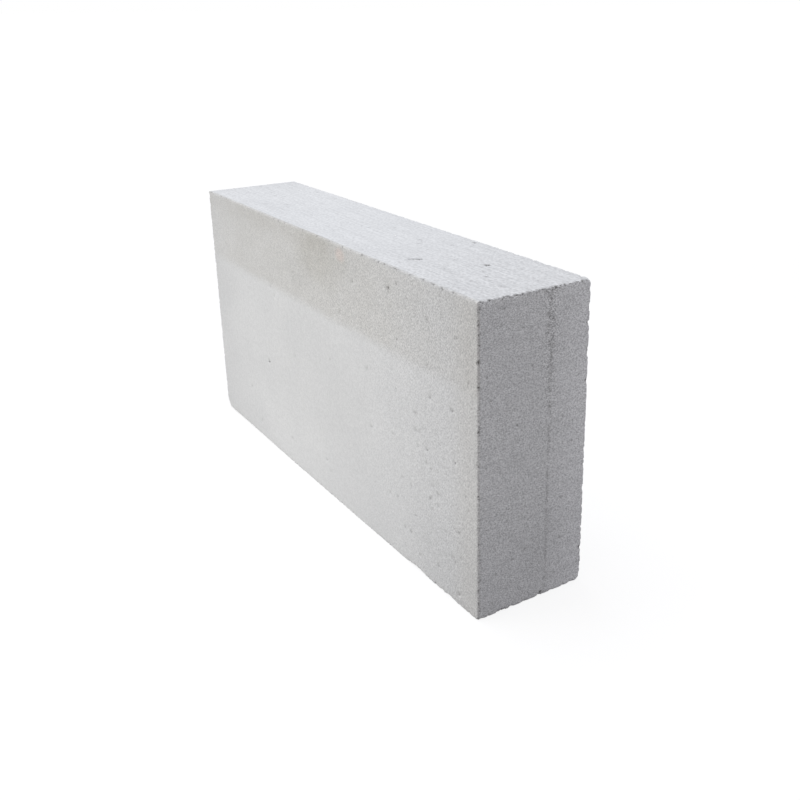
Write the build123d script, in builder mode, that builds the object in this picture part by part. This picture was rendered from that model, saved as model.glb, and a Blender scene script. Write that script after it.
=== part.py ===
from build123d import *
from math import sqrt
import os

# Aerated concrete wall block, cut by wires from a risen cake and standing on its long narrow side.
# X runs along the block, Y through its thickness from the front face to the back face, and Z up.
# The origin is the centre of the underside. All sizes are in millimetres.

# Size of the block.
LENGTH = 600.0
THICKNESS = 120.0
HEIGHT = 300.0

# Width of the crumbled arris along every edge.
ARRIS = 0.5

# Seam down each end face, where two wire cuts met. It leans a little to the front at its foot.
SEAM_FROM_FRONT_AT_TOP = 77.0
SEAM_FROM_FRONT_AT_FOOT = 74.5
SEAM_WIDTH = 3.2
SEAM_DEPTH = 0.7

# Chips where each seam runs out, at the foot and at the top. The one at the foot lies ahead of the seam.
SEAM_FOOT_CHIP_AHEAD = 5.0
SEAM_FOOT_CHIP_LENGTH = 6.0
SEAM_FOOT_CHIP_DEPTH = 1.7
SEAM_TOP_CHIP_LENGTH = 7.0
SEAM_TOP_CHIP_DEPTH = 1.1

# Corners broken by handling: how far each break reaches along the length, thickness and height.
LEFT_FRONT_FOOT_BREAK = (22.0, 14.0, 15.0)
RIGHT_FRONT_FOOT_BREAK = (5.0, 5.0, 5.0)
RIGHT_BACK_FOOT_BREAK = (9.0, 8.0, 9.5)
RIGHT_BACK_TOP_BREAK = (9.0, 4.0, 3.5)

# Wear along the foot's front edge. It is deepest at the left end and runs out along the edge.
FOOT_WEAR_LENGTH = 230.0
FOOT_WEAR_DEPTH = 2.2

# Long shallow chip out of the same edge, placed from the right end.
LONG_CHIP_FROM_RIGHT = 102.0
LONG_CHIP_LENGTH = 36.0
LONG_CHIP_DEPTH = 2.2

# Short chip out of that edge, nearer to the right end.
SHORT_CHIP_FROM_RIGHT = 46.0
SHORT_CHIP_LENGTH = 16.0
SHORT_CHIP_DEPTH = 1.6

# Chip out of the top's back edge, placed from the right end.
BACK_CHIP_FROM_RIGHT = 63.0
BACK_CHIP_LENGTH = 16.0
BACK_CHIP_DEPTH = 1.3

# Planes of the block's faces.
RIGHT = LENGTH / 2
LEFT = -LENGTH / 2
FRONT = -THICKNESS / 2
BACK = THICKNESS / 2
FOOT = 0.0
TOP = HEIGHT


def broken_corner(corner, reach):
    """Material lost at a corner.

    The broken face is part of a ball that crosses the three edges at the given reaches
    and runs smoothly into the edge with the longest one.
    """
    middle = Vector(0, 0, HEIGHT / 2)
    longest = max(reach)
    offsets = [(length**2 + longest**2) / (2 * length) for length in reach]
    inward = [offset if mid > at else -offset for offset, mid, at in zip(offsets, middle, corner)]
    ball_radius = sqrt(sum(offset**2 for offset in offsets) - longest**2)
    with BuildPart() as lost:
        with Locations(corner):
            Box(*(2 * length for length in reach))
        with Locations(corner + Vector(*inward)):
            Sphere(ball_radius, mode=Mode.SUBTRACT)
    return lost.part


def edge_chip(on_edge, outward, length, depth):
    """Scoop out of an edge: a ball that stands outside it and dips into it by the depth."""
    ball_radius = ((length / 2) ** 2 + depth**2) / (2 * depth)
    with BuildPart() as scoop:
        with Locations(on_edge + outward.normalized() * (ball_radius - depth)):
            Sphere(ball_radius)
    return scoop.part


seam_foot = FRONT + SEAM_FROM_FRONT_AT_FOOT
seam_top = FRONT + SEAM_FROM_FRONT_AT_TOP
seam_run = Vector(0, seam_top - seam_foot, HEIGHT)


def seam_chips(end, outward):
    """Chips at the foot and at the top of the seam in one end face."""
    return [
        edge_chip(
            Vector(end, seam_foot - SEAM_FOOT_CHIP_AHEAD, FOOT),
            Vector(outward, 0, -1), SEAM_FOOT_CHIP_LENGTH, SEAM_FOOT_CHIP_DEPTH,
        ),
        edge_chip(
            Vector(end, seam_top, TOP),
            Vector(outward, 0, 1), SEAM_TOP_CHIP_LENGTH, SEAM_TOP_CHIP_DEPTH,
        ),
    ]


damage = [
    broken_corner(Vector(LEFT, FRONT, FOOT), LEFT_FRONT_FOOT_BREAK),
    broken_corner(Vector(RIGHT, FRONT, FOOT), RIGHT_FRONT_FOOT_BREAK),
    broken_corner(Vector(RIGHT, BACK, FOOT), RIGHT_BACK_FOOT_BREAK),
    broken_corner(Vector(RIGHT, BACK, TOP), RIGHT_BACK_TOP_BREAK),
    edge_chip(Vector(LEFT, FRONT, FOOT), Vector(0, -1, -1), 2 * FOOT_WEAR_LENGTH, FOOT_WEAR_DEPTH),
    edge_chip(
        Vector(RIGHT - LONG_CHIP_FROM_RIGHT, FRONT, FOOT),
        Vector(0, -1, -1), LONG_CHIP_LENGTH, LONG_CHIP_DEPTH,
    ),
    edge_chip(
        Vector(RIGHT - SHORT_CHIP_FROM_RIGHT, FRONT, FOOT),
        Vector(0, -1, -1), SHORT_CHIP_LENGTH, SHORT_CHIP_DEPTH,
    ),
    edge_chip(
        Vector(RIGHT - BACK_CHIP_FROM_RIGHT, BACK, TOP),
        Vector(0, 1, 1), BACK_CHIP_LENGTH, BACK_CHIP_DEPTH,
    ),
    *seam_chips(RIGHT, 1),
    *seam_chips(LEFT, -1),
]

with BuildPart() as block:
    with BuildSketch():
        Rectangle(LENGTH, THICKNESS)
    extrude(amount=HEIGHT)
    chamfer(block.edges(), length=ARRIS)

    # The seam is a V groove: half of a diamond that is drawn across each end face.
    with BuildSketch():
        with Locations((RIGHT, seam_foot), (LEFT, seam_foot)):
            Polygon(
                (SEAM_DEPTH, 0), (0, SEAM_WIDTH / 2), (-SEAM_DEPTH, 0), (0, -SEAM_WIDTH / 2),
            )
    extrude(amount=seam_run.length, dir=seam_run.normalized(), mode=Mode.SUBTRACT)

    add(damage, mode=Mode.SUBTRACT)

block.part.label = "block"

os.makedirs("parts", exist_ok=True)
export_step(block.part, "parts/block.step")
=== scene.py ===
import math

import bpy
import numpy as np
from mathutils import Matrix, Vector, geometry, kdtree, noise
from mathutils.bvhtree import BVHTree


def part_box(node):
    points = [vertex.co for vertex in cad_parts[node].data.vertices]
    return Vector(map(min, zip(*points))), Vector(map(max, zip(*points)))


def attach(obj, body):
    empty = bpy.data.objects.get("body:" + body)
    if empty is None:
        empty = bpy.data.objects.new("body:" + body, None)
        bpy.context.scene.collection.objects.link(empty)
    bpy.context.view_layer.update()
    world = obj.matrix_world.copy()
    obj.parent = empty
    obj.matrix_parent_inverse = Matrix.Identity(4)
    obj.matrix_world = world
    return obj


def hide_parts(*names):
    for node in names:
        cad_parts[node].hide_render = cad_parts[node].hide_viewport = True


# Looks of an aerated concrete block: its wire-cut faces, crumbled arrises, open pores and stains.
# Lengths are in millimetres, in the block's own frame, until a mesh, lamp or camera is made.
MM = 0.001
SEED = 12

# The six faces: the axis across each, the side it lies on, and the two axes along it.
FACES = {
    "front": (1, -1, 0, 2),
    "back": (1, 1, 0, 2),
    "top": (2, 1, 0, 1),
    "foot": (2, -1, 0, 1),
    "right": (0, 1, 1, 2),
    "left": (0, -1, 1, 2),
}

# Spacing of the surface points over the middle of a face, along its first and second axis.
FACE_STEPS = {
    "front": (4.6, 4.2),
    "back": (4.8, 4.6),
    "top": (5.5, 2.1),
    "foot": (6.0, 2.6),
    "right": (3.8, 1.6),
    "left": (4.2, 1.8),
}

# Rows of points that run round each face beside its arrises: distance in, and spacing along.
ARRIS_ROWS = ((0.0, 1.0), (0.55, 1.0), (1.3, 1.2), (2.4, 1.7), (4.1, 2.6))
FACE_MARGIN = 7.0
CORNER_REACH = 20.0
CORNER_STEP = 1.8
# How far the middle points are shifted by chance, next to their spacing, and the closest that points lie.
MIDDLE_SHIFT = 0.2
CLOSEST = 0.75
# Distance within which a point counts as on a face or an arris.
TOUCHING = 0.01

# The relief goes inwards: square to a face, and slanting within this distance of an arris.
SLANT_REACH = 12.0
# How far the faces stand out before their arrises are worn back.
RISE = 0.3
# Gap between the faces on the flat colour sheet.
SHEET_GAP = 6.0

# Seam down each end, as the part has it.
SEAM_FROM_FRONT_AT_TOP = 77.0
SEAM_FROM_FRONT_AT_FOOT = 74.5
SEAM_ROWS = (-4.0, -2.6, -1.6, -0.8, 0.0, 0.8, 1.6, 2.6, 4.0)
SEAM_STEP = 2.0
# Shares of the height at which the seam's rough upper part begins and is fully rough.
SEAM_UPPER = (0.5, 0.9)
SEAM_CRUMB_SPACING = 3.2
SEAM_CRUMB_LIFT = 2.0
# How far the crumbs lie behind the seam's middle, how far they spread to either side, and how large
# they are, next to the others: at mid height and at the top.
SEAM_CRUMB_BEHIND = (1.4, 0.0)
SEAM_CRUMB_SPREAD = (0.5, 2.8)
SEAM_CRUMB_SCALE = (0.7, 1.0)
SEAM_CRUMB_RADIUS = (0.8, 1.9)
# Painted shade in and beside the seam's groove: how far it reaches at mid height and at the top, and how
# dark it is. It lies in patches, with a pitch along X, Y and Z, a contrast, and a shift that sets their
# noise apart.
SEAM_SHADE_REACH = (1.25, 3.3)
SEAM_SHADE = 0.37
SEAM_PATCHES = ((4, 4, 5), 1.8, 41.3)
# Grain beside the upper part of the seam: how far it reaches, and how much stronger it is there.
SEAM_GRAIN_REACH = 6.0
SEAM_GRAIN = 0.8

# Small pits beside the front and top arrises of each end: usual spacing, distance in, and radius.
ARRIS_PIT_SPACING = 6.0
ARRIS_PIT_MARGIN = 5.0
ARRIS_PIT_INSET = (1.2, 3.0)
ARRIS_PIT_RADIUS = (0.5, 1.1)

# Open pores: how many on each face, their radius, how few of them are large, and the gap between them.
PORE_COUNTS = {"front": 60, "back": 150, "top": 70, "foot": 90, "right": 60, "left": 70}
PORE_RADIUS = (0.5, 1.2)
PORE_POWER = 3
PORE_GAP = 1.0
PORE_TRIES = 20
# Share of the front's pores that are left open at its rubbed left end, its middle and its right end.
FRONT_PORES = (0.04, 0.12, 1.0)
# Radius above which a pore's mouth gets more points, and the rings of points in small and wide mouths:
# how many points, their radius next to the pore's, and their turn.
WIDE_PORE = 1.3
SMALL_MOUTH = ((8, 1.0, 0.0), (4, 0.65, 0.4))
WIDE_MOUTH = ((10, 1.0, 0.0), (10, 0.9, 0.3), (5, 0.5, 0.0))
# Depth of the pores, next to their radius.
PORE_DIP = (0.45, 0.85)
LARGE_PORE_DIP = (0.9, 1.0)
SEAM_CRUMB_DIP = (0.25, 0.5)

# The larger pores that stand out, at their places along the two axes of a face: first, second, radius.
# Six of those on the top lie in a row and make a short groove.
LARGE_PORES = {
    "front": (
        (157.0, 278.3, 1.7), (-140.6, 114.3, 1.8), (220.1, 138.0, 1.2),
        (262.4, 192.1, 1.1), (266.3, 143.7, 1.2), (242.3, 151.8, 1.0),
    ),
    "top": (
        (211.6, 13.4, 2.8), (242.7, -10.2, 1.4), (133.8, 54.1, 1.7),
        (150.5, -33.0, 1.2), (152.0, -31.2, 1.6), (153.5, -29.4, 1.8),
        (155.0, -27.6, 1.8), (156.5, -25.8, 1.9), (158.0, -24.0, 1.7),
    ),
    "right": (
        (11.5, 2.7, 1.9), (-18.1, 181.7, 1.3), (43.8, 150.8, 1.2),
    ),
}

# Nicks along the arrises: usual spacing, smallest gap, distance from the ends, radius, how few of them
# are large, and bite next to the radius.
NICK_SPACING = 7.0
NICK_GAP = 1.2
NICK_MARGIN = 2.0
NICK_RADIUS = (0.7, 2.2)
NICK_POWER = 2.5
NICK_BITE = (0.35, 0.8)
KNOWN_NICK_BITE = 0.8
# The smaller bites beside a nick: their radius, distance in and spread along the arris, next to its radius.
SIDE_BITE_RADIUS = (0.45, 0.8)
SIDE_BITE_INSET = (0.4, 1.1)
SIDE_BITE_SPREAD = 1.3
# Shallow scallops between the nicks: usual spacing, smallest gap, distance from the ends, radius and depth.
SCALLOP_SPACING = 13.0
SCALLOP_GAP = 6.0
SCALLOP_MARGIN = 4.0
SCALLOP_RADIUS = (3.0, 8.0)
SCALLOP_DIP = (0.35, 1.2)
# Mean of the chance gap between two bites, next to the usual spacing.
CHANCE_GAP = 0.8
# Crumbling of the whole arris: depth, distance in, crumbs of two sizes, and how many stand out. Each size
# has a pitch and a shift that sets its noise apart.
CRUMBLE = 0.55
CRUMBLE_REACH = 1.5
CRUMBS = ((2.0, 31.1), (6.0, 37.9))
CRUMB_BIAS = 0.6
# Roughness of the broken corners and chips, the depth at which it is full, and lumps of two sizes.
BREAK_ROUGH = 1.7
BREAK_DEPTH = 2.5
LUMPS = ((3.2, 47.7), (7.0, 53.9))

# Waves of the faces and marks of the wires: pitch along X, Y and Z, height, and shift of the noise.
FACE_WAVES = ((130, 130, 130), 0.4, 3.1)
END_RIPPLES = ((50, 45, 2.4), 0.26, 11.7)
END_WAVES = ((50, 80, 13), 0.24, 5.3)
BED_RIPPLES = ((140, 3.2, 50), 0.20, 17.9)
SIDE_RIPPLES = ((90, 50, 9), 0.12, 23.3)
# A place belongs to a face where the way inwards points along its axis at least this much.
FACING = 0.8

# How hard some arrises were knocked, next to the others: the arris's axis, and its sides on the two
# other axes.
ARRIS_WEAR = {
    (2, (1, -1)): 0.3,
    (1, (1, 1)): 0.45,
    (0, (-1, 1)): 0.75,
    (1, (1, -1)): 1.25,
    (2, (1, 1)): 1.2,
}

# The nicks that stand out, along an arris: the arris's axis, its sides on the two other axes,
# how far in they lie along those axes, and the places along the arris with a radius.
KNOWN_NICKS = (
    (2, (1, -1), (-0.2, 1.2), (
        (8.5, 0.9), (17.0, 0.9), (31.0, 1.1), (78.0, 0.9), (125.0, 1.1), (186.0, 1.4), (226.0, 1.4),
        (248.5, 1.6), (256.5, 0.9), (271.5, 1.1), (280.0, 1.2),
    )),
    (1, (1, 1), (0.3, 0.3), (
        (-56.5, 1.3), (-49.0, 1.2), (-30.0, 1.5), (-21.0, 1.0), (6.0, 1.0), (21.0, 1.5), (26.0, 1.1),
        (31.0, 1.5), (45.0, 1.3), (50.5, 1.8),
    )),
    (0, (-1, 1), (0.0, 0.0), (
        (-23.0, 1.3), (11.5, 1.3), (39.5, 1.2), (68.5, 1.3), (109.5, 1.4), (140.0, 1.8), (152.5, 1.3),
        (170.0, 1.6), (247.0, 1.8), (265.0, 1.6),
    )),
    (0, (1, 1), (0.0, 0.0), ((201.0, 1.8), (288.0, 2.0))),
)

# Camera that took the photograph, solved from the block's corners in its frame of 800 pixels.
FRAME_PIXELS = 800
FOCAL_PIXELS = 962.46
AXIS_PIXEL = (451.43, 343.32)
CAMERA_PLACE = (900.55, -483.07, 525.30)
CAMERA_AZIMUTH = 56.487
CAMERA_ELEVATION = 19.477
CAMERA_ROLL = -0.613
SENSOR = 36.0
# Farthest that the camera sees, in metres.
CAMERA_REACH = 500.0

# Concrete, as linear colours: its own colour, and the tints that multiply it.
CONCRETE = (0.775, 0.775, 0.772)
CLOUD_TINT = (0.965, 0.966, 0.968)
# Paler concrete behind the seam on the ends.
BEHIND_SEAM_TINT = (1.13, 1.13, 1.135)
# Painted shade low on the ends.
FOOT_SHADE_TINT = (0.905, 0.905, 0.912)
# Painted shade in the fine pores.
PORE_SHADE_TINT = (0.82, 0.81, 0.80)
# Painted shade in the nicks, pores and seam.
HOLLOW_SHADE_TINT = (0.33, 0.32, 0.31)
# Clouds all over the concrete and the wobble of its stains: pitch along X, Y and Z, and detail.
CLOUD_PITCH = (90, 90, 90)
WOBBLE_PITCH = (40, 40, 40)
CLOUD_DETAIL = 3.0

# Fine grain: its pitch along X, Y and Z on the ends, the beds and the sides.
END_PITCH = (1.0, 1.5, 1.0)
BED_PITCH = (3.2, 2.4, 1.0)
SIDE_PITCH = (0.9, 0.9, 1.6)
# Contrast of the grain. On the beds, in the band and on the rubbed front it grows from left to right,
# each over its own stretch of X.
END_GRAIN = 0.29
SIDE_GRAIN = 0.215
BED_GRAIN = (0.085, 0.122)
BED_STRETCH = (60, 280)
BAND_GRAIN = (0.125, 0.24)
BAND_STRETCH = (-260, 240)
RUBBED_GRAIN = 0.06
RUBBED_STRETCH = (40, 290)
# Height of the grain at full contrast, and of the fine pores, with their pitch, largest radius, how few
# of them are large, how soft their rims are next to the pitch, and how much painted shade darkens them.
GRAIN_DEPTH = 0.6
FINE_PORE_DEPTH = 0.3
FINE_PORE_PITCH = 7.0
FINE_PORE_RADIUS = 1.0
FINE_PORE_POWER = 4.0
FINE_PORE_SOFT = 0.1
FINE_PORE_SHADE = 3.0
# Painted shade in the hollows of the nicks and pores: the depth at which it is full, and how slowly it sets
# in.
HOLLOW_SHADE_DEPTH = 1.6
HOLLOW_SHADE_POWER = 1.2
# Darkest and palest streak of the wires, their pitch, and how strong they are on the back.
STREAK_SHADES = (0.955, 1.035)
END_STREAK_PITCH = (60, 70, 3.6)
BED_STREAK_PITCH = (110, 3.0, 60)
BACK_STREAK_PITCH = (170, 60, 5.0)
BACK_STREAKS = 0.7
# The ends get paler from ahead of the seam to behind it, and painted shade darkens them from mid height to
# the foot.
BEHIND_SEAM_FADE = (-12.0, 42.0)
FOOT_SHADE_FADE = (160, -20)
# Range of a noise that counts, below which is none and above which is all: usually, in clouds, in grain.
NOISE_RANGE = (0.3, 0.7)
CLOUD_RANGE = (0.35, 0.65)
GRAIN_RANGE = (0.25, 0.75)
# A soft spot sets in between these distances from its centre, next to its reach.
SPOT_FADE = (1.25, 0.35)
# Distance from the arris over which an end or a bed, and a front or back, takes over from its neighbour.
END_FADE = (2.5, 1.2)
SIDE_FADE = (3.0, 1.8)

# Stained band along the top of the front face: the height of its foot, how soft and how wavy that is,
# its tint and its mottle.
BAND_FOOT = 217.0
BAND_SOFT = 8.0
BAND_WOBBLE = 6.0
BAND_TINT = (0.888, 0.877, 0.855)
MOTTLE_PITCH = (26, 26, 15)
MOTTLE_SHADES = (0.87, 1.13)
# Strength of the band on the left and on the right: start and end of a stretch of X, and strength there.
BAND_LEFT = (-300, -180, 0.5, 1.0)
BAND_RIGHT = (90, 250, 1.0, 0.48)
# Darker upper rim of the band: the heights and the stretch of X over which it sets in.
RIM_HEIGHTS = (268, 294)
RIM_STRETCH = (72, 24)
RIM_TINT = (0.945, 0.94, 0.932)
# Darkest patch of the band, and its rust: place along X and up, reach along X, Y and Z, raggedness, tint.
PATCH = ((14, 279), (62, 30, 36), 0.9, (0.895, 0.887, 0.865))
RUST = ((62, 290), (11, 10, 8), 0.4, (1.10, 1.02, 1.0))
# Darker right edge of the front: the stretch of X over which it sets in.
EDGE_STRETCH = (250, 290)
EDGE_TINT = (0.963, 0.953, 0.934)

# Soft spots on the front and on the ends, partly uneven tone and partly painted light and shade: the paler
# foot of the front is painted light from the floor, and the darker foot at the front's right end and the
# low spot on the ends are painted shade. Each has its place along the face and up, its reach along the
# face and up, and how pale it is next to the rest.
FRONT_TONE_AND_LIGHT_SPOTS = (
    ((-25, 150), (155, 110), 0.957), ((160, 140), (55, 130), 1.033), ((-80, 15), (330, 70), 1.028),
    ((290, 10), (110, 75), 0.965), ((-38, 252), (38, 26), 0.935), ((-285, 190), (90, 38), 0.965),
    ((66, 200), (48, 52), 1.035),
)
END_SHADE_SPOTS = (((0, 75), (100, 50), 0.973),)
TONE_RAGGED = 0.6
# Faint blotches all over the front: their pitch, and the darkest and palest of them.
BLOTCH_PITCH = (5.0, 5.0, 5.0)
BLOTCH_SHADES = (0.972, 1.028)
# Painted light on the beds, paler on the left and darker on the right, and the strength of their streaks on
# the left and on the right, each with the stretch of X between.
BED_PAINTED_LIGHT = (1.015, 0.985)
BED_PAINTED_LIGHT_STRETCH = (20, 180)
BED_STREAKS = (1.0, 1.3)
BED_STREAK_STRETCH = (60, 220)

# Floor: its colour as light meets it, and the glow that makes it look white, near and far, in metres.
FLOOR_HALF = 90.0
FLOOR_GAP = 0.1
FLOOR_COLOUR = (0.27, 0.27, 0.27)
FLOOR_FADE = (0.5, 4.0)
FLOOR_GLOW = (0.81, 0.90)

# Light: an even sky, a soft box high above the block and one low in front of it, each with its target.
SKY_COLOUR = (0.992, 0.984, 1.028)
SKY_STRENGTH = 0.624
HIGH_POWER = 3.88
HIGH_PLACE = (-110.0, -124.0, 1257.0)
HIGH_TARGET = (0.0, 0.0, 150.0)
HIGH_SIZE = 700.0
HIGH_COLOUR = (0.944, 1.01, 1.062)
FRONT_POWER = 2.48
FRONT_PLACE = (-97.0, -667.0, 95.0)
FRONT_TARGET = (-97.0, 0.0, 150.0)
FRONT_SIZE = 450.0
FRONT_COLOUR = (1.0, 1.0, 0.958)

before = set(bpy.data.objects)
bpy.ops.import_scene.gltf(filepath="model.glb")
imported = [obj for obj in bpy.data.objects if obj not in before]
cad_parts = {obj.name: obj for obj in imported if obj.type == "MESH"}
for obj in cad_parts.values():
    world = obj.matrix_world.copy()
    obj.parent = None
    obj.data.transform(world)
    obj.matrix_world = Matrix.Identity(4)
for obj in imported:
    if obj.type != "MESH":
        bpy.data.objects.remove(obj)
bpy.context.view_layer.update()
LOW, HIGH = (np.array(corner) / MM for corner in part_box("block"))
SIZE = HIGH - LOW
rng = np.random.default_rng(SEED)


# Points spread over the faces

def evenly(start, end, step):
    """Places from start to end, both included, about a step apart."""
    return np.linspace(start, end, max(2, round((end - start) / step) + 1))


def grid(u, v):
    """Every pair of the places u and v, one row a pair."""
    return np.stack(np.meshgrid(u, v), -1).reshape(-1, 2)


def arris_row(width, height, inset, step):
    """Points round a face at one distance from its arrises."""
    u = evenly(inset, width - inset, step)
    v = evenly(inset, height - inset, step)
    ends = [inset, width - inset]
    sides = [inset, height - inset]
    return np.vstack([grid(u, sides), grid(ends, v[1:-1])])


def corner_points(width, height):
    """A close grid over the four corners of a face, for their breaks."""
    inset = ARRIS_ROWS[-1][0] + CORNER_STEP
    near = np.arange(inset, CORNER_REACH, CORNER_STEP)
    quarter = grid(near, near)
    quarter = quarter[np.hypot(*quarter.T) < CORNER_REACH]
    flips = [(False, False), (True, False), (False, True), (True, True)]
    patches = []
    for flip_u, flip_v in flips:
        u = width - quarter[:, 0] if flip_u else quarter[:, 0]
        v = height - quarter[:, 1] if flip_v else quarter[:, 1]
        patches.append(np.column_stack([u, v]))
    return np.vstack(patches)


def seam_from_front(height_up):
    """How far the seam lies behind the front face at a height above the foot."""
    share = height_up / SIZE[2]
    return SEAM_FROM_FRONT_AT_FOOT + (SEAM_FROM_FRONT_AT_TOP - SEAM_FROM_FRONT_AT_FOOT) * share


def seam_upper(height_up):
    """How far up the seam's rough upper part a height is: 0 up to mid height, 1 near the top."""
    start, full = SEAM_UPPER
    return ((height_up / SIZE[2] - start) / (full - start)).clip(0, 1)


def seam_points():
    """Rows of points along the seam of an end face."""
    inset = ARRIS_ROWS[-1][0]
    v = evenly(inset, SIZE[2] - inset, SEAM_STEP)
    return np.vstack([np.column_stack([seam_from_front(v) + aside, v]) for aside in SEAM_ROWS])


def ring(sides, radius, turn):
    """Points evenly round a circle."""
    angles = turn + np.arange(sides) * 2 * math.pi / sides
    return radius * np.column_stack([np.cos(angles), np.sin(angles)])


def pore_points(pores):
    """A ring round each pore's mouth, one or two smaller ones inside it, and its middle."""
    small, wide = (
        np.vstack([*(ring(*row) for row in mouth), [[0, 0]]]) for mouth in (SMALL_MOUTH, WIDE_MOUTH)
    )
    shapes = [wide if radius > WIDE_PORE else small for radius in pores[:, 2]]
    return np.vstack([row[:2] + shape * row[2] for row, shape in zip(pores, shapes)])


def pore(u, v, radius, dips):
    """One pore: its first and second place on a face, its radius, and its depth next to the radius."""
    return np.array([u, v, radius, rng.uniform(*dips)])


def seam_crumbs(height):
    """Pits along the seam of an end, where its lips crumbled."""
    for v in evenly(FACE_MARGIN, height - FACE_MARGIN, SEAM_CRUMB_SPACING):
        behind, spread, scale = (
            np.interp(seam_upper(v), (0, 1), ends)
            for ends in (SEAM_CRUMB_BEHIND, SEAM_CRUMB_SPREAD, SEAM_CRUMB_SCALE)
        )
        u = seam_from_front(v) + behind + rng.normal(0, spread)
        lift = rng.uniform(-SEAM_CRUMB_LIFT, SEAM_CRUMB_LIFT)
        yield pore(u, v + lift, scale * rng.uniform(*SEAM_CRUMB_RADIUS), SEAM_CRUMB_DIP)


def arris_pits(width, height):
    """Small pits beside the front and top arrises of an end, spread by chance."""
    margin = ARRIS_PIT_MARGIN
    for at in rng.uniform(margin, height - margin, round(height / ARRIS_PIT_SPACING)):
        yield pore(rng.uniform(*ARRIS_PIT_INSET), at, rng.uniform(*ARRIS_PIT_RADIUS), PORE_DIP)
    for at in rng.uniform(margin, width - margin, round(width / ARRIS_PIT_SPACING)):
        yield pore(at, height - rng.uniform(*ARRIS_PIT_INSET), rng.uniform(*ARRIS_PIT_RADIUS), PORE_DIP)


def mostly_small(limits, power):
    """A radius by chance between two limits. The higher the power, the fewer are large."""
    least, most = limits
    return least + (most - least) * rng.random() ** power


def scatter_pores(name, width, height):
    """Pores of one face, one row each. Those put down by chance keep clear of the others."""
    _, _, along, up = FACES[name]
    corner = LOW[[along, up]]
    large = LARGE_PORES.get(name, ())
    pores = [pore(u - corner[0], v - corner[1], radius, LARGE_PORE_DIP) for u, v, radius in large]
    if along == 1:
        pores += [*seam_crumbs(height), *arris_pits(width, height)]
    tries = 0
    wanted = len(pores) + PORE_COUNTS[name]
    while len(pores) < wanted and tries < PORE_TRIES * wanted:
        tries += 1
        radius = mostly_small(PORE_RADIUS, PORE_POWER)
        place = rng.uniform(FACE_MARGIN, np.array([width, height]) - FACE_MARGIN)
        others = np.array(pores) if pores else np.zeros((1, 4))
        clear = np.hypot(*(others[:, :2] - place).T) - others[:, 2] - radius
        open_share = np.interp(place[0], (0, width / 2, width), FRONT_PORES) if name == "front" else 1.0
        if clear.min() > PORE_GAP and rng.random() < open_share:
            pores.append(pore(*place, radius, PORE_DIP))
    return np.array(pores)


def clear_of(points, kept, gap):
    """The points that lie at least a gap away from those already kept."""
    tree = kdtree.KDTree(len(kept))
    for index, (u, v) in enumerate(kept):
        tree.insert((u, v, 0), index)
    tree.balance()
    far = [tree.find((u, v, 0))[2] > gap for u, v in points]
    return points[np.array(far)]


def face_points(name, pores):
    """All surface points of one face, in its own two axes from its low corner."""
    _, _, along, up = FACES[name]
    width, height = SIZE[along], SIZE[up]
    kept = np.vstack([arris_row(width, height, inset, step) for inset, step in ARRIS_ROWS])
    kept = np.vstack([kept, pore_points(pores)])
    if along == 1:
        kept = np.vstack([kept, clear_of(seam_points(), kept, CLOSEST)])
    kept = np.vstack([kept, clear_of(corner_points(width, height), kept, CLOSEST)])
    step_u, step_v = FACE_STEPS[name]
    middle = grid(
        evenly(FACE_MARGIN, width - FACE_MARGIN, step_u),
        evenly(FACE_MARGIN, height - FACE_MARGIN, step_v),
    )
    middle[:, 0] += rng.uniform(-MIDDLE_SHIFT, MIDDLE_SHIFT, len(middle)) * step_u
    return np.vstack([kept, clear_of(middle, kept, CLOSEST)])


def in_space(name, points):
    """Points of a face as places on the plain box."""
    axis, side, along, up = FACES[name]
    places = np.empty((len(points), 3))
    places[:, axis] = HIGH[axis] if side > 0 else LOW[axis]
    places[:, along] = LOW[along] + points[:, 0]
    places[:, up] = LOW[up] + points[:, 1]
    return places


def triangles_of(name, points):
    """Triangles over the points of one face, seen the right way round from outside."""
    axis, side, along, up = FACES[name]
    flat = [Vector(point) for point in points]
    verts, _, tris, *_ = geometry.delaunay_2d_cdt(flat, [], [], 0, 1e-5, False)
    tris = np.array(tris)
    turned = np.linalg.det(np.eye(3)[[along, up, axis]]) * side < 0
    return np.array([tuple(v) for v in verts]), tris[:, ::-1] if turned else tris


def plain_box():
    """The box as one closed mesh: places, triangles, the face of each triangle, and the pores."""
    places, tris, owner, pores = [], [], [], {}
    count = 0
    for index, name in enumerate(FACES):
        _, _, along, up = FACES[name]
        pores[name] = scatter_pores(name, SIZE[along], SIZE[up])
        points, faces = triangles_of(name, face_points(name, pores[name]))
        places.append(in_space(name, points))
        tris.append(faces + count)
        owner.append(np.full(len(faces), index))
        count += len(points)
    places, tris, owner = np.vstack(places), np.vstack(tris), np.concatenate(owner)
    # Points of two faces that meet on an arris become one, to the nearest thousandth.
    keys = np.round(places * 1000).astype(np.int64)
    _, first, back = np.unique(keys, axis=0, return_index=True, return_inverse=True)
    return places[first], back.reshape(-1)[tris], owner, pores


# Relief

def inward(places):
    """The direction from each place into the block."""
    inner = np.clip(places, LOW + SLANT_REACH, HIGH - SLANT_REACH)
    way = inner - places
    return way / np.linalg.norm(way, axis=1, keepdims=True)


def depth_of_part(places, ways):
    """How deep the part's own surface lies below the plain box: arrises, seam, breaks and chips."""
    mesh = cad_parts["block"].data
    corners = [v.co / MM for v in mesh.vertices]
    tree = BVHTree.FromPolygons(corners, [tuple(p.vertices) for p in mesh.polygons])
    depths = np.zeros(len(places))
    # Each ray starts one millimetre outside the plain box.
    for index, (place, way) in enumerate(zip(places, ways)):
        hit = tree.ray_cast(Vector(place - way), Vector(way))
        depths[index] = max(0.0, hit[3] - 1.0) if hit[0] else 0.0
    return depths


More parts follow.
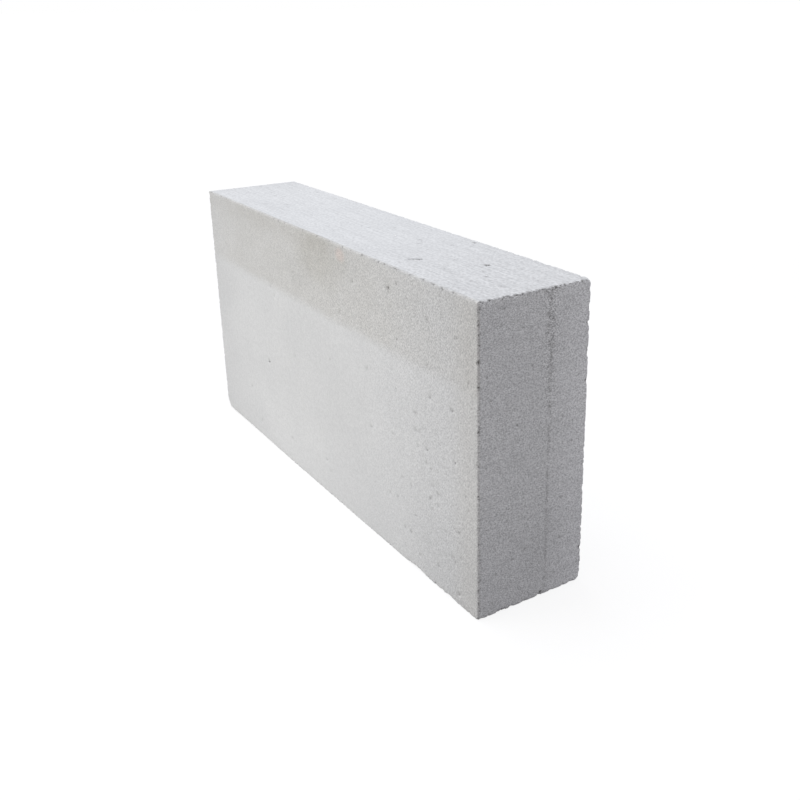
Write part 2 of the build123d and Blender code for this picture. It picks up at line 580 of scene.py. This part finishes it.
def noise_over(places, pitch, shift):
    """Smooth noise from 0 to 1 at each place, with its own pitch along X, Y and Z."""
    scaled = places / np.array(pitch) + shift
    return np.array([0.5 + 0.5 * noise.noise(Vector(p)) for p in scaled]).clip(0, 1)


def ripples(places, form):
    """Ups and downs of one form: their pitch, their height and the shift of their noise."""
    pitch, height, shift = form
    return height * (noise_over(places, pitch, shift) - 0.5)


def lumps(places, sizes):
    """Noises of two sizes added up, from 0 to 2. A size is a pitch and the shift of its noise."""
    return sum(noise_over(places, (pitch,) * 3, shift) for pitch, shift in sizes)


def scoop(depths, places, ways, centre, radius):
    """Deepens the surface wherever a ball reaches into it."""
    to_centre = centre - places
    along = np.einsum("ij,ij->i", to_centre, ways)
    half = np.sqrt((radius**2 - (np.einsum("ij,ij->i", to_centre, to_centre) - along**2)).clip(0))
    hit = (half > 0) & (along - half <= depths)
    depths[hit] = np.maximum(depths[hit], (along + half)[hit])


def edge_distance(places):
    """Distance from each place to the nearest arris."""
    from_faces = np.sort(np.minimum(places - LOW, HIGH - places), axis=1)
    return from_faces[:, 1]


def arrises():
    """The twelve arrises: the axis that each runs along, and its side on the two other axes."""
    for axis in range(3):
        for sides in ((-1, -1), (-1, 1), (1, -1), (1, 1)):
            yield axis, sides


def arris_ball(axis, sides, at, radius, dip, aside):
    """A ball that dips into an arris at one place, set aside from it along one of the two faces."""
    others = [k for k in range(3) if k != axis]
    outward = np.zeros(3)
    outward[others] = sides
    centre = np.where(outward > 0, HIGH, LOW)
    centre[axis] = at
    centre[others] -= np.array(sides) * aside
    return centre + outward / math.sqrt(2) * (radius - dip), radius


def ragged_nick(axis, sides, at, radius, bite, inset=(0.0, 0.0)):
    """Balls that make one nick: one on the arris, and a smaller one beside it on each of its faces."""
    yield arris_ball(axis, sides, at, radius, bite * radius, np.array(inset))
    for face in range(2):
        smaller = radius * rng.uniform(*SIDE_BITE_RADIUS)
        aside = np.array(inset)
        aside[face] += radius * rng.uniform(*SIDE_BITE_INSET)
        place = at + radius * rng.uniform(-SIDE_BITE_SPREAD, SIDE_BITE_SPREAD)
        yield arris_ball(axis, sides, place, smaller, bite * smaller, aside)


def nick_balls():
    """Balls that bite the arrises: the nicks that stand out, then nicks and scallops by chance."""
    balls = []
    for axis, sides, inset, nicks in KNOWN_NICKS:
        for at, radius in nicks:
            balls += ragged_nick(axis, sides, at, radius, KNOWN_NICK_BITE, inset)
    for axis, sides in arrises():
        wear = ARRIS_WEAR.get((axis, sides), 1.0)
        at = LOW[axis] + rng.uniform(NICK_MARGIN, NICK_SPACING)
        while at < HIGH[axis] - NICK_MARGIN:
            radius = mostly_small(NICK_RADIUS, NICK_POWER)
            balls += ragged_nick(axis, sides, at, radius, wear * rng.uniform(*NICK_BITE))
            at += NICK_SPACING * rng.exponential(CHANCE_GAP) + NICK_GAP
        at = LOW[axis] + rng.uniform(SCALLOP_MARGIN, SCALLOP_SPACING)
        while at < HIGH[axis] - SCALLOP_MARGIN:
            radius = rng.uniform(*SCALLOP_RADIUS)
            dip = wear * rng.uniform(*SCALLOP_DIP)
            balls.append(arris_ball(axis, sides, at, radius, dip, np.zeros(2)))
            at += SCALLOP_SPACING * rng.exponential(CHANCE_GAP) + SCALLOP_GAP
    return balls


def pore_balls(name, pores):
    """Balls whose dips are the pores of one face."""
    axis, side, _, _ = FACES[name]
    outward = np.zeros(3)
    outward[axis] = side
    for place, mouth, share in zip(in_space(name, pores[:, :2]), pores[:, 2], pores[:, 3]):
        dip = mouth * share
        radius = (mouth**2 + dip**2) / (2 * dip)
        yield place + outward * (radius - dip), radius


def cut_marks(places, ways):
    """Shallow marks that the wires left: level on the ends, lengthwise on the other faces."""
    on_end = np.abs(ways[:, 0]) > FACING
    on_bed = np.abs(ways[:, 2]) > FACING
    on_side = ~on_end & ~on_bed
    marks = ripples(places, FACE_WAVES)
    marks[on_end] += ripples(places[on_end], END_RIPPLES)
    marks[on_end] += ripples(places[on_end], END_WAVES)
    marks[on_bed] += ripples(places[on_bed], BED_RIPPLES)
    marks[on_side] += ripples(places[on_side], SIDE_RIPPLES)
    return marks


def seam_marks(places):
    """How much painted shade darkens the seams, and how coarse the grain is beside them: patchy, and most
    in their upper part.
    """
    height_up = places[:, 2] - LOW[2]
    aside = places[:, 1] - LOW[1] - seam_from_front(height_up)
    on_end = np.abs(places[:, 0]) > HIGH[0] - TOUCHING
    upper = seam_upper(height_up)
    reach = np.interp(upper, (0, 1), SEAM_SHADE_REACH)
    behind = np.interp(upper, (0, 1), SEAM_CRUMB_BEHIND)
    patchy = 0.5 + ripples(places, SEAM_PATCHES)
    # Painted shade in and beside the seam's groove.
    hollow_shade = on_end * np.exp(-(((aside - behind) / reach) ** 2)) * SEAM_SHADE * patchy.clip(0, 1)
    coarse = on_end * np.exp(-((aside / SEAM_GRAIN_REACH) ** 2)) * upper
    return hollow_shade, coarse


def bite_arrises(depths, places, ways):
    """Deepens the surface where nicks and scallops bite the arrises."""
    close = np.flatnonzero(edge_distance(places) < SLANT_REACH)
    part = depths[close]
    for centre, radius in nick_balls():
        scoop(part, places[close], ways[close], centre, radius)
    depths[close] = part


def open_pores(depths, places, ways, pores):
    """Deepens the surface at the pores of every face."""
    for name, (axis, side, _, _) in FACES.items():
        plane = HIGH[axis] if side > 0 else LOW[axis]
        mine = np.flatnonzero(np.abs(places[:, axis] - plane) < TOUCHING)
        part = depths[mine]
        for centre, radius in pore_balls(name, pores[name]):
            scoop(part, places[mine], ways[mine], centre, radius)
        depths[mine] = part


def carve(places, pores):
    """The finished surface, how much painted shade darkens each place, and how coarse its grain is."""
    ways = inward(places)
    lost = depth_of_part(places, ways)
    depths = lost + cut_marks(places, ways) - RISE
    broken = (lost / BREAK_DEPTH).clip(0, 1)
    depths += BREAK_ROUGH * broken * (lumps(places, LUMPS) - 1.0)
    near_arris = np.exp(-((edge_distance(places) / CRUMBLE_REACH) ** 2))
    depths += CRUMBLE * near_arris * (lumps(places, CRUMBS) - CRUMB_BIAS)
    before = depths.copy()
    bite_arrises(depths, places, ways)
    open_pores(depths, places, ways, pores)
    # Painted shade: the deeper a nick or pore bites, the darker its colour.
    hollow_shade = ((depths - before) / HOLLOW_SHADE_DEPTH).clip(0, 1) ** HOLLOW_SHADE_POWER
    surface = places + ways * depths[:, None]
    surface[:, 2] = surface[:, 2].clip(LOW[2])
    seam_shade, coarse = seam_marks(places)
    return surface, np.maximum(hollow_shade, seam_shade), coarse


# Meshes

def sheet_layout():
    """Where each face lies on the flat colour sheet, and the sheet's size."""
    length, thick, tall = SIZE
    right = length + SHEET_GAP
    row = tall + SHEET_GAP
    rows = [0, row, 2 * row, 2 * row + thick + SHEET_GAP]
    spots = {
        "front": (0, rows[0]), "right": (right, rows[0]), "back": (0, rows[1]),
        "left": (right, rows[1]), "top": (0, rows[2]), "foot": (0, rows[3]),
    }
    return spots, rows[3] + thick


def block_piece():
    """The block's visible surface as an object."""
    places, tris, owner, pores = plain_box()
    surface, hollow_shade, coarse = carve(places, pores)
    mesh = bpy.data.meshes.new("aerated_block")
    mesh.from_pydata((surface * MM).tolist(), [], tris.tolist())
    on_arris = edge_distance(places) < TOUCHING
    mesh.polygons.foreach_set("use_smooth", ~on_arris[tris].any(axis=1))
    spots, sheet = sheet_layout()
    uv = np.empty((len(tris), 3, 2))
    for index, name in enumerate(FACES):
        _, _, along, up = FACES[name]
        mine = owner == index
        flat = places[tris[mine]][:, :, [along, up]] - LOW[[along, up]]
        uv[mine] = (flat + np.array(spots[name])) / sheet
    mesh.uv_layers.new(name="OFBake").data.foreach_set("uv", uv.ravel())
    for name, values in (("hollow_shade", hollow_shade), ("coarse", coarse)):
        mesh.attributes.new(name, "FLOAT", "POINT").data.foreach_set("value", values)
    piece = bpy.data.objects.new("aerated_block", mesh)
    bpy.context.collection.objects.link(piece)
    return piece


# Materials

class Nodes:
    """Adds shader nodes to a tree. An input is a plain value or another node's output."""

    def __init__(self, tree):
        self.tree = tree
        tree.nodes.clear()

    def add(self, kind, inputs, **settings):
        node = self.tree.nodes.new("ShaderNode" + kind)
        for name, value in settings.items():
            setattr(node, name, value)
        for name, value in inputs.items():
            if isinstance(value, bpy.types.NodeSocket):
                self.tree.links.new(value, node.inputs[name])
            else:
                node.inputs[name].default_value = value
        return node

    def math(self, operation, first, second=0.0):
        return self.add("Math", {0: first, 1: second}, operation=operation).outputs[0]

    def product(self, *factors):
        total = factors[0]
        for factor in factors[1:]:
            total = self.math("MULTIPLY", total, factor)
        return total

    def ramp(self, value, start, end, low=0.0, high=1.0):
        """Goes smoothly from low to high while the value goes from start to end."""
        inputs = {"Value": value, 1: start, 2: end, 3: low, 4: high}
        return self.add("MapRange", inputs, interpolation_type="SMOOTHSTEP").outputs[0]

    def stretched(self, place, pitch):
        """A place measured in pitches along X, Y and Z."""
        inverse = tuple(1 / length for length in pitch)
        return self.add("VectorMath", {0: place, 1: inverse}, operation="MULTIPLY").outputs[0]

    def noise(self, place, pitch, detail=2.0):
        inputs = {"Vector": self.stretched(place, pitch), "Scale": 1.0, "Detail": detail}
        return self.add("TexNoise", inputs).outputs[0]

    def shades(self, place, pitch, limits):
        """Noise that goes from the first limit to the second."""
        return self.ramp(self.noise(place, pitch), *NOISE_RANGE, *limits)

    def grain(self, place, pitch):
        """Fine noise, turned so that no face lies along its cells."""
        inputs = {"Vector": self.stretched(place, pitch), "Axis": (0.6, 0.5, 0.62), "Angle": 0.7}
        return self.noise(self.add("VectorRotate", inputs).outputs[0], (1, 1, 1), 1.0)

    def dots(self, place, pitch, largest):
        """Round dots, one in each cell and few of them large: 1 inside, 0 outside."""
        inputs = {"Vector": self.stretched(place, (pitch,) * 3), "Scale": 1.0}
        cells = self.add("TexVoronoi", inputs)
        chance = self.add("SeparateColor", {0: cells.outputs["Color"]}).outputs[0]
        radius = self.product(self.math("POWER", chance, FINE_PORE_POWER), largest / pitch)
        edge = self.math("SUBTRACT", radius, cells.outputs["Distance"])
        return self.ramp(edge, -FINE_PORE_SOFT, FINE_PORE_SOFT)

    def spot(self, place, centre, reach, ragged):
        """A soft spot round a centre, with its own reach along X, Y and Z and a ragged rim."""
        offset = self.add("VectorMath", {0: place, 1: centre}, operation="SUBTRACT").outputs[0]
        scaled = self.stretched(offset, reach)
        away = self.add("VectorMath", {0: scaled}, operation="LENGTH").outputs["Value"]
        return self.ramp(self.math("ADD", away, ragged), *SPOT_FADE)

    def tinted(self, colour, amount, tint):
        """The colour multiplied by a tint, as far as the amount says."""
        inputs = {0: amount, 6: colour, 7: (*tint, 1)}
        node = self.add("Mix", inputs, data_type="RGBA", blend_type="MULTIPLY", clamp_factor=True)
        return node.outputs[2]

    def blend(self, amount, first, second):
        return self.add("Mix", {0: amount, 2: first, 3: second}).outputs[0]

    def shade(self, colour, factor):
        """The colour made darker or paler by a factor."""
        return self.add("VectorMath", {0: colour, "Scale": factor}, operation="SCALE").outputs[0]

    def attribute(self, name):
        return self.add("Attribute", {}, attribute_name=name).outputs["Fac"]


def concrete():
    """Pale aerated concrete with a fine grain, a stained band on its front and painted shade in its
    hollows.
    """
    material = bpy.data.materials.new("aerated_concrete")
    material.use_nodes = True
    nodes = Nodes(material.node_tree)
    metres = nodes.add("TexCoord", {}).outputs["Object"]
    place = nodes.add("VectorMath", {0: metres, "Scale": 1 / MM}, operation="SCALE").outputs[0]
    axes = nodes.add("SeparateXYZ", {0: place}).outputs
    end = nodes.ramp(nodes.math("ABSOLUTE", axes[0]), *(HIGH[0] - far for far in END_FADE))
    front = nodes.ramp(axes[1], *(LOW[1] + far for far in SIDE_FADE))
    middle = nodes.math("SUBTRACT", axes[2], (LOW[2] + HIGH[2]) / 2)
    bed = nodes.ramp(nodes.math("ABSOLUTE", middle), *(SIZE[2] / 2 - far for far in END_FADE))
    wobble = nodes.math("SUBTRACT", nodes.noise(place, WOBBLE_PITCH, CLOUD_DETAIL), 0.5)
    level = nodes.math("ADD", axes[2], nodes.product(wobble, BAND_WOBBLE))
    band = nodes.product(front, nodes.ramp(level, BAND_FOOT - BAND_SOFT, BAND_FOOT + BAND_SOFT))

    cloud = nodes.noise(place, CLOUD_PITCH, CLOUD_DETAIL)
    colour = nodes.tinted((*CONCRETE, 1), nodes.ramp(cloud, *CLOUD_RANGE), CLOUD_TINT)
    colour = end_marks(nodes, place, axes, end, colour)
    colour = bed_marks(nodes, place, axes, bed, colour)
    colour = back_marks(nodes, place, axes, colour)
    colour = front_stains(nodes, place, axes, front, band, wobble, colour)
    # Spots of uneven tone, painted light and painted shade on the front, and painted shade on the ends.
    colour = tone_and_light_spots(nodes, (axes[0], axes[2]), front, wobble, FRONT_TONE_AND_LIGHT_SPOTS, colour)
    colour = tone_and_light_spots(nodes, (axes[1], axes[2]), end, wobble, END_SHADE_SPOTS, colour)

    grain = nodes.blend(end, nodes.grain(place, SIDE_PITCH), nodes.grain(place, END_PITCH))
    grain = nodes.blend(bed, grain, nodes.grain(place, BED_PITCH))
    contrast = grain_contrast(nodes, axes[0], end, bed, front, band)
    speckle = nodes.product(nodes.ramp(grain, *GRAIN_RANGE, -1.0, 1.0), contrast)
    colour = nodes.shade(colour, nodes.math("ADD", speckle, 1.0))
    # Fine pores, darkened with painted shade.
    pores = nodes.dots(place, FINE_PORE_PITCH, FINE_PORE_RADIUS)
    pores = nodes.product(pores, contrast, FINE_PORE_SHADE)
    colour = nodes.tinted(colour, pores, PORE_SHADE_TINT)
    # Painted shade in the nicks, pores and seam.
    colour = nodes.tinted(colour, nodes.attribute("hollow_shade"), HOLLOW_SHADE_TINT)

    rough = nodes.product(grain, contrast, GRAIN_DEPTH)
    height = nodes.math("SUBTRACT", rough, nodes.product(pores, FINE_PORE_DEPTH))
    bump = nodes.add("Bump", {"Height": height, "Distance": MM, "Strength": 1.0})
    shader = nodes.add("BsdfPrincipled", {
        "Base Color": colour, "Roughness": 0.92, "Specular IOR Level": 0.15,
        "Normal": bump.outputs[0],
    })
    nodes.add("OutputMaterial", {"Surface": shader.outputs[0]})
    return material


def tone_and_light_spots(nodes, along, face, wobble, tones, colour):
    """Soft paler and darker spots on one face: partly uneven tone, partly painted light and shade."""
    flat = nodes.add("CombineXYZ", {0: along[0], 1: along[1]}).outputs[0]
    for (u, v), (reach_u, reach_v), factor in tones:
        ragged = nodes.product(wobble, TONE_RAGGED)
        spot = nodes.spot(flat, (u, v, 0), (reach_u, reach_v, 1), ragged)
        colour = nodes.tinted(colour, nodes.product(face, spot), (factor,) * 3)
    return colour


def grain_contrast(nodes, x, end, bed, front, band):
    """How strong the grain is: most on the ends, least on the rubbed left of the front."""
    rubbed = nodes.ramp(x, *RUBBED_STRETCH, RUBBED_GRAIN, SIDE_GRAIN)
    stained = nodes.ramp(x, *BAND_STRETCH, *BAND_GRAIN)
    contrast = nodes.blend(front, SIDE_GRAIN, nodes.blend(band, rubbed, stained))
    contrast = nodes.blend(bed, contrast, nodes.ramp(x, *BED_STRETCH, *BED_GRAIN))
    coarse = nodes.math("ADD", nodes.product(nodes.attribute("coarse"), SEAM_GRAIN), 1.0)
    return nodes.blend(end, contrast, nodes.product(coarse, END_GRAIN))


def end_marks(nodes, place, axes, end, colour):
    """The ends: level streaks of the wire, painted shade that darkens the foot, and paler concrete behind
    the seam.
    """
    y, z = axes[1], axes[2]
    lean = (SEAM_FROM_FRONT_AT_TOP - SEAM_FROM_FRONT_AT_FOOT) / SIZE[2]
    seam = nodes.math("ADD", nodes.product(z, lean), LOW[1] + SEAM_FROM_FRONT_AT_FOOT)
    behind = nodes.ramp(nodes.math("SUBTRACT", y, seam), *BEHIND_SEAM_FADE)
    # Paler behind the seam.
    colour = nodes.tinted(colour, nodes.product(end, behind), BEHIND_SEAM_TINT)
    # Painted shade from mid height down to the foot.
    colour = nodes.tinted(colour, nodes.product(end, nodes.ramp(z, *FOOT_SHADE_FADE)), FOOT_SHADE_TINT)
    streaks = nodes.shades(place, END_STREAK_PITCH, STREAK_SHADES)
    return nodes.shade(colour, nodes.math("POWER", streaks, end))


def bed_marks(nodes, place, axes, bed, colour):
    """The top and the foot: lengthwise streaks of the wire, most of all towards the right end, and painted
    light that makes them paler on the left and darker on the right.
    """
    streaks = nodes.shades(place, BED_STREAK_PITCH, STREAK_SHADES)
    strength = nodes.product(bed, nodes.ramp(axes[0], *BED_STREAK_STRETCH, *BED_STREAKS))
    colour = nodes.shade(colour, nodes.math("POWER", streaks, strength))
    # Painted light: paler on the left, darker on the right.
    painted_light = nodes.ramp(axes[0], *BED_PAINTED_LIGHT_STRETCH, *BED_PAINTED_LIGHT)
    return nodes.shade(colour, nodes.math("POWER", painted_light, bed))


def back_marks(nodes, place, axes, colour):
    """The back: faint level streaks of the wire."""
    back = nodes.ramp(axes[1], *(HIGH[1] - far for far in SIDE_FADE))
    streaks = nodes.shades(place, BACK_STREAK_PITCH, STREAK_SHADES)
    return nodes.shade(colour, nodes.math("POWER", streaks, nodes.product(back, BACK_STREAKS)))


def front_stains(nodes, place, axes, front, band, wobble, colour):
    """The stained band along the top of the front face, with its darker patch and rust spot."""
    x, z = axes[0], axes[2]
    mottle = nodes.shades(place, MOTTLE_PITCH, MOTTLE_SHADES)
    along = nodes.product(nodes.ramp(x, *BAND_LEFT), nodes.ramp(x, *BAND_RIGHT))
    colour = nodes.tinted(colour, nodes.product(band, along, mottle), BAND_TINT)
    rim = nodes.product(front, nodes.ramp(z, *RIM_HEIGHTS), nodes.ramp(x, *RIM_STRETCH), mottle)
    colour = nodes.tinted(colour, rim, RIM_TINT)
    for (at_x, at_z), reach, ragged, tint in (PATCH, RUST):
        spot = nodes.spot(place, (at_x, LOW[1], at_z), reach, nodes.product(wobble, ragged))
        colour = nodes.tinted(colour, nodes.product(front, spot), tint)
    blotches = nodes.shades(place, BLOTCH_PITCH, BLOTCH_SHADES)
    colour = nodes.shade(colour, nodes.math("POWER", blotches, front))
    return nodes.tinted(colour, nodes.product(front, nodes.ramp(x, *EDGE_STRETCH)), EDGE_TINT)


# Studio

def floor_piece():
    """A pale floor. To the eye it is near white, and it still takes the block's shadow."""
    mesh = bpy.data.meshes.new("floor")
    half = FLOOR_HALF
    mesh.from_pydata(
        [(-half, -half, 0), (half, -half, 0), (half, half, 0), (-half, half, 0)], [], [(0, 1, 2, 3)],
    )
    floor = bpy.data.objects.new("floor", mesh)
    floor.location.z = -FLOOR_GAP * MM
    bpy.context.collection.objects.link(floor)
    material = bpy.data.materials.new("pale_floor")
    material.use_nodes = True
    nodes = Nodes(material.node_tree)
    matt = nodes.add("BsdfDiffuse", {"Color": (*FLOOR_COLOUR, 1)}).outputs[0]
    spot = nodes.add("TexCoord", {}).outputs["Object"]
    away = nodes.add("VectorMath", {0: spot}, operation="LENGTH").outputs["Value"]
    pale = nodes.ramp(away, *FLOOR_FADE, *FLOOR_GLOW)
    glow = nodes.add("Emission", {"Strength": pale}).outputs[0]
    both = nodes.add("AddShader", {0: matt, 1: glow}).outputs[0]
    nodes.add("OutputMaterial", {"Surface": seen_or_lit(nodes, both, matt)})
    mesh.materials.append(material)
    return floor


def seen_or_lit(nodes, seen, lit):
    """One shader for what is seen directly or in a reflection, and another for the light it gives."""
    path = nodes.add("LightPath", {}).outputs
    rays = nodes.math("MAXIMUM", path["Is Camera Ray"], path["Is Glossy Ray"])
    rays = nodes.math("MAXIMUM", rays, path["Is Transmission Ray"])
    return nodes.add("MixShader", {0: rays, 1: lit, 2: seen}).outputs[0]


def sky():
    """Even light from all round, which shows as white behind the floor."""
    world = bpy.data.worlds.new("sky")
    bpy.context.scene.world = world
    world.use_nodes = True
    nodes = Nodes(world.node_tree)
    lit = nodes.add("Background", {"Color": (*SKY_COLOUR, 1), "Strength": SKY_STRENGTH}).outputs[0]
    white = nodes.add("Background", {"Color": (1, 1, 1, 1), "Strength": 1.0}).outputs[0]
    nodes.add("OutputWorld", {"Surface": seen_or_lit(nodes, white, lit)})


def soft_lamp(name, power, place, target, size, colour):
    """A square soft box that faces a target."""
    data = bpy.data.lights.new(name, "AREA")
    data.energy = power
    data.size = size * MM
    data.color = colour
    lamp = bpy.data.objects.new(name, data)
    lamp.location = Vector(place) * MM
    way = Vector(target) - Vector(place)
    lamp.rotation_euler = way.to_track_quat("-Z", "Y").to_euler()
    lamp.visible_camera = False
    bpy.context.collection.objects.link(lamp)


def camera():
    """The photograph's camera, from its solved place, angles and optical axis."""
    turn, lift, roll = (math.radians(a) for a in (CAMERA_AZIMUTH, CAMERA_ELEVATION, CAMERA_ROLL))
    level = math.cos(lift)
    back = Vector((math.sin(turn) * level, -math.cos(turn) * level, math.sin(lift)))
    right = Vector((0, 0, 1)).cross(back).normalized()
    up = back.cross(right)
    right, up = (
        right * math.cos(roll) + up * math.sin(roll),
        up * math.cos(roll) - right * math.sin(roll),
    )
    data = bpy.data.cameras.new("camera")
    data.sensor_width = SENSOR
    data.lens = SENSOR * FOCAL_PIXELS / FRAME_PIXELS
    data.shift_x = 0.5 - AXIS_PIXEL[0] / FRAME_PIXELS
    data.shift_y = AXIS_PIXEL[1] / FRAME_PIXELS - 0.5
    data.clip_end = CAMERA_REACH
    thing = bpy.data.objects.new("camera", data)
    turned = Matrix((right, up, back)).transposed().to_4x4()
    thing.matrix_world = Matrix.Translation(Vector(CAMERA_PLACE) * MM) @ turned
    bpy.context.collection.objects.link(thing)
    bpy.context.scene.camera = thing


piece = block_piece()
piece.data.materials.append(concrete())
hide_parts("block")
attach(piece, "root")
floor_piece()
sky()
soft_lamp("high_lamp", HIGH_POWER, HIGH_PLACE, HIGH_TARGET, HIGH_SIZE, HIGH_COLOUR)
soft_lamp("front_lamp", FRONT_POWER, FRONT_PLACE, FRONT_TARGET, FRONT_SIZE, FRONT_COLOUR)
camera()
bpy.context.scene.view_settings.view_transform = "Standard"
